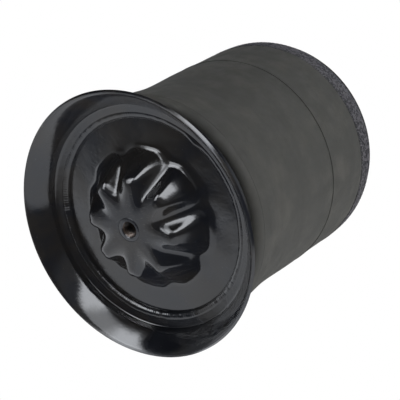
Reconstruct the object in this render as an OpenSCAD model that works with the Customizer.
/* [Piston skirt] */
// Inside radius of the pressed skirt where the base plate seats in it
neck_r = 95; // [90:0.5:100]
// Thickness of the skirt's steel
skirt_t = 3; // [2:0.25:4]
// How much slimmer the skirt is at its top end than at the base plate
skirt_taper = 8; // [5:0.5:11]
// Radial width of the flat shelf between the skirt and the flare
shelf_w = 13; // [11:0.5:16]
// Height of the shelf above the foot of the flare
shelf_z = 27; // [24:0.5:29]
// Radial width of the flare, from the shelf out to the rim
flare_w = 17; // [12:0.5:22]
// Angle of the rim's lip above the horizontal, in degrees
lip_angle = 33; // [20:1:45]
// Length of that straight lip
lip_len = 2; // [1:0.25:4]
// Height of the skirt's top end, where the crown is welded on
skirt_top = 150; // [144:0.5:153]
// Length of the straight edge at the skirt's top end
top_edge = 2; // [1:0.25:4]

/* [Base plate] */
// Height of the flat ring of the base plate, on its outer side
disc_z = 33; // [32:0.5:38]
// Thickness of the base plate's steel
base_t = 4; // [3:0.25:5]
// Clearance between the base plate's edge and the skirt
seat_clear = 0.1; // [0.05:0.05:0.3]
// Radius at which the line of the ribs meets the plane of the boss
boss_r = 48; // [46:0.25:49]
// Radius at which the line of the ribs meets the plane of the flat ring
opening_r = 67.5; // [66:0.5:70]
// Length of the ribs' soft bend into the boss, measured from the corner of the two lines
boss_bend = 8; // [6:0.5:9]
// Length of the ribs' bend into the flat ring, measured from the corner of the two lines
ring_bend = 3; // [2:0.5:4]
// Number of flutes pressed between the ribs
flutes = 8; // [7:1:10]
// Radius at which a flute's floor leaves the plane of the boss
flute_in = 29.5; // [28.5:0.25:31]
// Radius at which a flute's floor reaches the plane of the flat ring
flute_out = 62; // [60:0.25:63.5]
// Radius of a flute's round floor at the boss
flute_r1 = 16; // [14:0.25:17]
// Radius of a flute's round floor at the flat ring
flute_r2 = 20; // [18:0.5:22]
// Width of the fillet weld where it lies on the base plate
weld_leg = 2.2; // [1.5:0.1:3]
// How far the face of the fillet weld bulges
weld_bulge = 2.6; // [2.2:0.1:3.4]

/* [Boss bush] */
// Bore of the blind M16 thread, at its crests
thread_r = 7; // [5:0.1:8.5]
// Depth of the thread from the boss face
thread_depth = 24; // [18:1:28]
// Radius of the bush's nose, which shows as a ring in the boss
nose_r = 11.3; // [10.5:0.1:12.5]
// Radius of the bush's body behind the base plate
bush_r = 17; // [15:0.5:20]
// Steel left above the bottom of the thread
bush_end = 6; // [4:0.5:9]
// Size of the chamfer at the thread's mouth
thread_chamfer = 1; // [0.5:0.1:1.5]

/* [Piston crown and clamp] */
// Height of the crown's flat top above the skirt's top end
crown_rise = 18; // [17:0.5:22]
// Bend radius of the crown's shoulder
crown_bend = 12; // [9:0.5:13]
// Thickness of the crown's steel
crown_t = 3; // [2:0.25:4]
// Height of the weld that joins crown and skirt on the inside
crown_weld_h = 7; // [5:0.5:9]
// Thickness of that weld
crown_weld_t = 1.4; // [1:0.1:2]
// Inner radius of the sleeve's lower bead
lower_bead_r = 62; // [60:0.5:66]
// Width of a bead, measured along the radius
bead_w = 10; // [9:0.25:11]
// Height of a bead
bead_h = 9; // [8:0.25:10]
// Radius of the wire hoop inside a bead
hoop_wire_r = 2.2; // [1.5:0.1:2.8]
// Thickness of the clamp plate's steel
clamp_t = 4; // [3:0.25:5]
// Radial room for the clamp plate's rise on the inner side of the bead
clamp_rise = 9; // [7:0.5:11]
// How far the clamp plate's rim reaches past the bead's middle
clamp_reach = 6; // [3:0.5:8]
// Number of air passages through the clamp plate and the crown
passages = 4; // [2:1:8]
// Radius of an air passage
passage_r = 3.5; // [2:0.25:4.5]
// Distance of the air passages from the middle
passage_pitch_r = 47; // [46:0.5:48.5]

/* [Bumper] */
// Radius of the stud's shank and of the hole in its nut
shank_r = 8; // [6:0.25:10]
// Radius of the stud's head, moulded into the rubber
stud_head_r = 28; // [22:1:32]
// Thickness of the stud's head
stud_head_t = 4; // [3:0.5:6]
// Rubber between the stud's head and the clamp plate
bumper_foot = 4; // [3:0.5:6]
// Radius of the bumper at its foot
bumper_r = 40; // [36:0.5:42]
// Radius of the bumper at its top
bumper_top_r = 27; // [20:0.5:30]
// Free space at rest between the bumper and the port bush above it
bumper_gap = 10; // [9:0.5:20]
// Thickness of the clamp washer
washer_t = 3; // [2:0.5:4]
// Outer radius of the clamp washer
washer_r = 15; // [14.5:0.5:18]
// Height of the clamp nut
nut_h = 13; // [10:0.5:16]
// Radius of the clamp nut over its corners
nut_r = 13.9; // [12:0.1:14.4]
// Length of shank below the clamp nut
shank_tail = 5; // [2:0.5:8]

/* [Sleeve] */
// Wall thickness of the rubber sleeve
rubber_t = 4.2; // [3.5:0.1:5]
// Clearance between the sleeve and the steel that it lies against
rubber_clear = 0.3; // [0.2:0.05:0.5]
// Space inside the fold, between the inner leg and the outer wall
fold_gap = 5.5; // [4:0.25:7]
// Height of the centre of the fold's round underside
fold_z = 44; // [42:0.5:48]
// Slit left between the pieces that the sleeve is split into
split_gap = 0.3; // [0.2:0.05:0.5]
// Height of the sleeve's slimmest place above the fold
waist_z = 94; // [85:1:105]
// How much the outer wall draws in at its slimmest place
waist_in = 2; // [0:0.25:3]
// Height of the mould line round the sleeve
mould_z = 180; // [170:1:190]
// How much the wall has widened at the mould line
mould_out = 4.2; // [3:0.1:5]
// Step in the wall at the mould line
mould_step = 0.7; // [0.3:0.1:1]
// How much the wall widens from the mould line to the knurled band
band_out = 2.6; // [1:0.1:4]
// Distance from the bead plate's top down to the lower edge of the knurled band
band_drop = 26; // [24:1:33]
// How far the knurled band stands proud
band_proud = 0.4; // [0.2:0.1:0.8]

/* [Bead plate] */
// Height of the bead plate's flat top
top_z = 278; // [275:0.5:290]
// Thickness of the bead plate's steel
plate_t = 3; // [2:0.25:4]
// How far the plate's edge stays inside the sleeve's widest radius
plate_inset = 2.9; // [2:0.1:4]
// Radius of the raised middle of the bead plate
plate_flat_r = 76; // [74:0.5:78]
// How far the plate is pressed down over the bead
plate_drop = 1.5; // [0.5:0.25:2.5]
// Bend radius of the plate's edge, on its outer side
plate_bend = 4.5; // [4:0.25:5.5]
// Length of the plate's edge below its bend
plate_lip = 2; // [1:0.25:3]
// Inner radius of the sleeve's upper bead
upper_bead_r = 92; // [90:0.5:93]
// Thickness of the clamp ring's steel
ring_t = 2.5; // [2:0.25:3]
// Width of the clamp ring's welding flange
ring_flange = 8; // [6:0.5:10]
// Radius of the mounting studs, M12
stud_r = 6; // [4:0.25:8]
// How far the studs' press-in shoulders stand out from their threads
stud_shoulder = 0.8; // [0.6:0.1:1.5]
// Length of the mounting studs above the plate
stud_len = 35; // [25:1:45]
// Distance between the two mounting studs
stud_pitch = 89; // [84:1:95]
// Radius of the studs' round heads
stud_foot_r = 11; // [9.5:0.5:13]
// Thickness of the studs' round heads
stud_foot_t = 4; // [3:0.5:6]
// Bore of the air port's M22 thread, at its crests
port_r = 10.2; // [8:0.1:11]
// Distance of the air port from the middle
port_y = 38; // [36:1:44]
// Radius of the port bush where it passes the plate
port_neck_r = 14; // [13:0.25:15]
// Radius of the port bush below the plate
port_foot_r = 17; // [16:0.5:19]
// Height of the port bush below the plate
port_foot_h = 6; // [4:0.5:6.5]

/* [Hidden] */
smooth = 144;
bend_steps = 8;
paint = [0.25, 0.26, 0.27];
zinc = [0.62, 0.63, 0.62];
rubber = [0.29, 0.29, 0.28];
wire = [0.72, 0.62, 0.42];

// Plane geometry: a point is [radius, height], and a path is a list of points.
function unit(v) = v / norm(v);
function blend(a, b, t) = a + (b - a) * t;
function ease(a, b, t) = blend(a, b, (1 - cos(180 * t)) / 2);
function aim(angle) = [cos(angle), sin(angle)];
function steps(n) = [for (i = [0 : n]) i / n];
function bezier(a, b, c, d, n) = [for (t = steps(n))
    a * pow(1 - t, 3) + 3 * b * t * pow(1 - t, 2) + 3 * c * t * t * (1 - t) + d * pow(t, 3)];
function arc(centre, r, from, to, n) = [for (t = steps(n)) centre + r * aim(blend(from, to, t))];
function tangent(path, i) = unit(path[min(i + 1, len(path) - 1)] - path[max(i - 1, 0)]);
function left_of(v) = [-v[1], v[0]];
function beside(path, d) = [for (i = [0 : len(path) - 1]) path[i] + d * left_of(tangent(path, i))];
function reversed(path) = [for (i = [len(path) - 1 : -1 : 0]) path[i]];
function between(path, d1, d2) = concat(beside(path, d1), reversed(beside(path, d2)));
function without_first(path) = [for (i = [1 : len(path) - 1]) path[i]];

// The skirt: a path up its inner side, from the rim over the flare, the shelf and the neck to its top.
rim_r = neck_r + shelf_w + flare_w;
rim_in = [rim_r - skirt_t * sin(lip_angle), 0];
corner = [neck_r + shelf_w, shelf_z - 2.5];
shelf_start = [neck_r + shelf_w - 4, shelf_z];
shelf_end = [neck_r + 4.5, shelf_z + 0.6];
neck = [neck_r, disc_z];
lip_end = rim_in + lip_len * aim(180 - lip_angle);
flare_path = concat([rim_in],
    bezier(lip_end, lip_end + 5 * aim(180 - lip_angle), corner - 9 * aim(104), corner, bend_steps));
corner_path = bezier(corner, corner + 2 * aim(104), shelf_start - 2 * aim(172), shelf_start, 4);
neck_path = bezier(shelf_end, shelf_end + 3 * aim(172), neck - 3 * aim(94), neck, 6);
taper_end = skirt_top - top_edge;
function skirt_in(z) = neck_r - skirt_taper * min(1, (z - disc_z) / (taper_end - disc_z));
skirt_lean = skirt_t * norm([1, skirt_taper / (taper_end - disc_z)]);
function skirt_out(z) = skirt_in(z) + skirt_lean;
taper_path = concat([neck, [skirt_in(taper_end), taper_end]], [[skirt_in(skirt_top), skirt_top]]);
skirt_path = concat(flare_path, without_first(corner_path), neck_path, without_first(taper_path));

// The base plate: a path along its outer side, from the bush's nose over boss and ribs to its edge.
rib_slope = atan2(disc_z, opening_r - boss_r);
flute_over = 12;
edge_r = skirt_in(disc_z + base_t) - seat_clear;
boss_corner = [boss_r, 0];
ring_corner = [opening_r, disc_z];
boss_turn = bezier(boss_corner - [boss_bend, 0], boss_corner - [boss_bend / 3, 0],
    boss_corner + boss_bend / 3 * aim(rib_slope), boss_corner + boss_bend * aim(rib_slope), 5);
ring_turn = bezier(ring_corner - ring_bend * aim(rib_slope), ring_corner, ring_corner,
    ring_corner + [ring_bend, 0], 4);
base_path = concat([[nose_r, 0]], boss_turn, ring_turn, [[edge_r, disc_z]]);

// The crown: a path up its outer side, from the skirt's top end over the shoulder to its centre.
crown_r = skirt_in(skirt_top) + skirt_t;
crown_z = skirt_top + crown_rise;
shoulder = [crown_r - crown_bend, crown_z - crown_bend];
shoulder_path = arc(shoulder, crown_bend, 0, 90, bend_steps);
crown_path = concat([[crown_r, skirt_top]], shoulder_path, [[shank_r, crown_z]]);

// The sleeve's inner leg lies on the piston from the fold up to the lower bead.
leg_bottom = fold_z + split_gap;
leg_seat = concat(
    [for (t = steps(3)) [skirt_out(blend(leg_bottom, skirt_top, t)), blend(leg_bottom, skirt_top, t)]],
    shoulder_path, [[lower_bead_r + bead_w / 2, crown_z]]);
leg_r = skirt_out(fold_z) + rubber_clear + rubber_t;
fold_r = leg_r + fold_gap / 2;
lobe_r = fold_gap / 2 + rubber_t;
wall_r = fold_r + lobe_r;
waist_r = wall_r - waist_in;
mould_r = waist_r + mould_out;
sleeve_r = mould_r + mould_step + band_out;
lower_bead_z = crown_z + rubber_clear;

// The outer wall, as paths up its outer side.
lower_wall_path = concat(
    [for (t = steps(6)) [ease(wall_r, waist_r, t), blend(fold_z + split_gap, waist_z, t)]],
    without_first([for (t = steps(8)) [ease(waist_r, mould_r, t), blend(waist_z, mould_z, t)]]));
plate_r = sleeve_r - plate_inset;
seat_z = top_z - plate_drop - plate_t;
lip_z = top_z - plate_drop - plate_bend - plate_lip;
tuck_r = plate_r - plate_t - rubber_clear;
band_z = top_z - band_drop;
band_start = [sleeve_r, band_z];
band_foot = [sleeve_r + band_proud, band_z + band_proud];
tuck = [tuck_r, lip_z - rubber_clear];
shoulder_turn = bezier(band_foot, band_foot + [0, 10], tuck + [4.6, -2.2], tuck, 10);
upper_bead_z = seat_z - rubber_clear - bead_h;
upper_wall_path = concat(
    [for (t = steps(8)) [ease(mould_r + mould_step, sleeve_r, t), blend(mould_z + split_gap, band_z, t)]],
    shoulder_turn,
    [[tuck_r, seat_z - plate_bend / 2], [tuck_r - plate_bend / 2, seat_z - rubber_clear]]);
wall_inner_top = [upper_bead_r + bead_w + 1.5, upper_bead_z + 2];
upper_wall_inner = concat(
    [for (t = steps(8)) [ease(mould_r + mould_step, sleeve_r, t) - rubber_t,
        blend(mould_z + split_gap, band_z, t)]],
    without_first(bezier([sleeve_r - rubber_t, band_z], [sleeve_r - rubber_t, band_z + 9],
        wall_inner_top + [5, 0.4], wall_inner_top, 8)));
upper_bead = [[upper_bead_r + bead_w - 1, upper_bead_z], [upper_bead_r + 1, upper_bead_z],
    [upper_bead_r, upper_bead_z + 1], [upper_bead_r, seat_z - rubber_clear]];

// The bead plate: a path along its upper side, from the middle out to the edge and down.
plate_low = top_z - plate_drop;
plate_turn = arc([plate_r - plate_bend, plate_low - plate_bend], plate_bend, 90, 0, 6);
plate_path = concat([[0, top_z], [plate_flat_r, top_z], [plate_flat_r + 4, plate_low]],
    plate_turn, [[plate_r, lip_z]]);
plate_under = top_z - plate_t;

// The clamp plate: a path along its underside, from the stud out over the lower bead.
clamp_top = lower_bead_z + bead_h + rubber_clear;
clamp_path = [[shank_r, crown_z], [lower_bead_r - clamp_rise, crown_z],
    [lower_bead_r - clamp_rise / 3, clamp_top],
    [lower_bead_r + bead_w / 2 + clamp_reach / 2, clamp_top],
    [lower_bead_r + bead_w / 2 + clamp_reach, clamp_top - 1.5]];

// The clamp ring: a path along the side away from the bead.
ring_side = upper_bead_r - rubber_clear - ring_t;
ring_base = upper_bead_z - rubber_clear - ring_t;
ring_path = [[ring_side - ring_flange, seat_z - ring_t], [ring_side - 1.5, seat_z - ring_t],
    [ring_side, seat_z - ring_t - 1.5], [ring_side, ring_base + 2], [ring_side + 2, ring_base],
    [upper_bead_r + bead_w - 1, ring_base]];

bumper_z = crown_z + clamp_t;
bumper_top = plate_under - port_foot_h - bumper_gap;
stud_head_z = bumper_z + bumper_foot;
washer_z = crown_z - crown_t - washer_t;
nut_z = washer_z - nut_h;

module turned(outline) {
    rotate_extrude($fn = smooth) polygon(outline);
}

module hoop(ring_r, z) {
    rotate_extrude($fn = smooth) translate([ring_r, z]) circle(r = hoop_wire_r, $fn = 32);
}

// The space of one flute: a round bar, tapered so that its side runs along the flute's floor.
module flute(grow) {
    floor_line = [flute_out - flute_in, disc_z];
    taper = asin((flute_r2 - flute_r1) / norm(floor_line));
    slope = atan2(disc_z, flute_out - flute_in) - taper;
    start = [flute_in, 0] - flute_r1 * left_of(aim(slope)) - flute_over * aim(slope);
    wall = grow / cos(taper);
    translate([start[0], 0, start[1]])
        rotate([0, 90 - slope, 0])
            cylinder(r1 = flute_r1 + wall - flute_over * tan(taper),
                r2 = flute_r2 + wall + flute_over * tan(taper),
                h = norm(floor_line) * cos(taper) + 2 * flute_over, $fn = 72);
}

// All flutes' spaces, no higher than the flat ring.
module all_flutes(grow) {
    intersection() {
        for (i = [0 : flutes - 1]) {
            rotate([0, 0, 360 * (i + 0.5) / flutes]) flute(grow);
        }
        translate([0, 0, -disc_z]) cylinder(r = edge_r, h = 2 * disc_z + grow, $fn = smooth);
    }
}

// Everything that lies above the base plate's outer side, as a blank for the flutes' walls.
module above_base() {
    turned(concat(base_path, [[edge_r, disc_z + 30], [nose_r, disc_z + 30]]));
}

module air_passages() {
    for (i = [0 : passages - 1]) {
        rotate([0, 0, 360 * (i + 0.5) / passages])
            translate([passage_pitch_r, 0, crown_z - crown_t - 1])
                cylinder(r = passage_r, h = crown_t + clamp_t + 2, $fn = 32);
    }
}

module piston_skirt() {
    color(paint) turned(between(skirt_path, 0, -skirt_t));
}

module base_plate() {
    color(paint) difference() {
        union() {
            turned(between(base_path, 0, base_t));
            intersection() {
                all_flutes(base_t);
                above_base();
            }
        }
        all_flutes(0);
        translate([0, 0, -1]) cylinder(r = nose_r, h = disc_z, $fn = 64);
    }
}

module base_weld() {
    toe = [neck_r - weld_leg, disc_z];
    push = weld_bulge * 4 / 3 * left_of(unit(toe - shelf_end));
    face = bezier(toe, toe + push, shelf_end + push, shelf_end, 6);
    color(paint) turned(concat(neck_path, [for (i = [0 : 5]) face[i]]));
}

module boss_bush() {
    color(zinc) difference() {
        union() {
            cylinder(r = nose_r, h = base_t, $fn = 64);
            translate([0, 0, base_t]) cylinder(r = bush_r, h = thread_depth + bush_end - base_t, $fn = 64);
        }
        translate([0, 0, -1]) cylinder(r = thread_r, h = thread_depth + 1, $fn = 64);
        translate([0, 0, -1])
            cylinder(r1 = thread_r + thread_chamfer + 1, r2 = thread_r, h = thread_chamfer + 1, $fn = 64);
    }
}

module piston_crown() {
    color(paint) difference() {
        turned(between(crown_path, 0, crown_t));
        air_passages();
    }
}

module crown_weld() {
    low = skirt_top - crown_weld_h / 2;
    high = skirt_top + crown_weld_h / 2;
    inside = crown_r - crown_t;
    face = min(inside, crown_r - skirt_t) - crown_weld_t;
    color(paint) turned([[skirt_in(low), low], [skirt_in(taper_end), taper_end],
        [face + crown_weld_t, skirt_top], [inside, high], [face, skirt_top + 1], [face, skirt_top - 1]]);
}

module clamp_plate() {
    color(zinc) difference() {
        turned(between(clamp_path, 0, clamp_t));
        air_passages();
    }
}

module lower_bead_hoop() {
    color(wire) hoop(lower_bead_r + bead_w / 2, lower_bead_z + bead_h / 2);
}

module bumper_blank() {
    high = bumper_top - bumper_z;
    turned([[0, bumper_z], [bumper_r - 2, bumper_z], [bumper_r, bumper_z + 3],
        [bumper_r, bumper_z + 0.2 * high], [bumper_r - 8, bumper_z + 0.32 * high],
        [bumper_r - 6, bumper_z + 0.45 * high], [bumper_top_r - 1, bumper_z + 0.6 * high],
        [bumper_top_r + 2, bumper_z + 0.75 * high], [bumper_top_r, bumper_top - 4],
        [bumper_top_r - 5, bumper_top], [0, bumper_top]]);
}

module bumper() {
    color(rubber) difference() {
        bumper_blank();
        bumper_stud();
    }
}

module bumper_stud() {
    tail = nut_z - shank_tail;
    color(zinc) {
        translate([0, 0, stud_head_z]) cylinder(r = stud_head_r, h = stud_head_t, $fn = 64);
        translate([0, 0, tail]) cylinder(r = shank_r, h = stud_head_z - tail, $fn = 64);
    }
}

module clamp_washer() {
    color(zinc) translate([0, 0, washer_z]) difference() {
        cylinder(r = washer_r, h = washer_t, $fn = 64);
        translate([0, 0, -1]) cylinder(r = shank_r, h = washer_t + 2, $fn = 64);
    }
}

module clamp_nut() {
    color(zinc) translate([0, 0, nut_z]) difference() {
        cylinder(r = nut_r, h = nut_h, $fn = 6);
        translate([0, 0, -1]) cylinder(r = shank_r, h = nut_h + 2, $fn = 64);
    }
}

module sleeve_inner_leg() {
    bead_mid = lower_bead_r + bead_w / 2;
    color(rubber) difference() {
        union() {
            turned(between(leg_seat, -rubber_clear, -(rubber_clear + rubber_t)));
            turned([[lower_bead_r, lower_bead_z + 1], [lower_bead_r + 1, lower_bead_z],
                [bead_mid + 1, lower_bead_z], [lower_bead_r + bead_w + 3, lower_bead_z],
                [lower_bead_r + bead_w, lower_bead_z + bead_h - 2],
                [lower_bead_r + bead_w - 2, lower_bead_z + bead_h],
                [lower_bead_r + 1, lower_bead_z + bead_h], [lower_bead_r, lower_bead_z + bead_h - 1]]);
        }
        lower_bead_hoop();
    }
}

module sleeve_fold() {
    color(rubber) rotate_extrude($fn = smooth) translate([fold_r, fold_z]) difference() {
        circle(r = lobe_r, $fn = 64);
        circle(r = fold_gap / 2, $fn = 64);
        translate([-2 * lobe_r, 0]) square([4 * lobe_r, 2 * lobe_r]);
    }
}

module sleeve_lower_wall() {
    color(rubber) turned(between(lower_wall_path, 0, rubber_t));
}

module sleeve_upper_wall() {
    color(rubber) difference() {
        turned(concat(upper_wall_path, reversed(upper_bead), reversed(upper_wall_inner)));
        upper_bead_hoop();
    }
}

module upper_bead_hoop() {
    color(wire) hoop(upper_bead_r + bead_w / 2, upper_bead_z + bead_h / 2);
}

module bead_plate() {
    color(paint) difference() {
        turned(between(plate_path, 0, -plate_t));
        translate([0, port_y, plate_under - 1]) cylinder(r = port_neck_r, h = plate_t + 2, $fn = 64);
        for (side = [-1, 1]) {
            translate([side * stud_pitch / 2, 0, plate_under - 1])
                cylinder(r = stud_r + stud_shoulder, h = plate_t + 2, $fn = 48);
        }
    }
}

module bead_clamp_ring() {
    color(paint) turned(between(ring_path, 0, ring_t));
}

module mounting_studs() {
    color(zinc) for (side = [-1, 1]) {
        translate([side * stud_pitch / 2, 0, plate_under - stud_foot_t]) {
            cylinder(r = stud_foot_r, h = stud_foot_t, $fn = 48);
            cylinder(r = stud_r + stud_shoulder, h = stud_foot_t + plate_t, $fn = 48);
            cylinder(r = stud_r, h = stud_foot_t + plate_t + stud_len, $fn = 48);
        }
    }
}

module air_port_bush() {
    color(zinc) translate([0, port_y, plate_under - port_foot_h]) difference() {
        union() {
            cylinder(r = port_foot_r, h = port_foot_h, $fn = 64);
            cylinder(r = port_neck_r, h = port_foot_h + plate_t, $fn = 64);
        }
        translate([0, 0, -1]) cylinder(r = port_r, h = port_foot_h + plate_t + 2, $fn = 64);
    }
}

piston_skirt();
base_plate();
base_weld();
boss_bush();
piston_crown();
crown_weld();
clamp_plate();
lower_bead_hoop();
bumper();
bumper_stud();
clamp_washer();
clamp_nut();
sleeve_inner_leg();
sleeve_fold();
sleeve_lower_wall();
sleeve_upper_wall();
upper_bead_hoop();
bead_plate();
bead_clamp_ring();
mounting_studs();
air_port_bush();
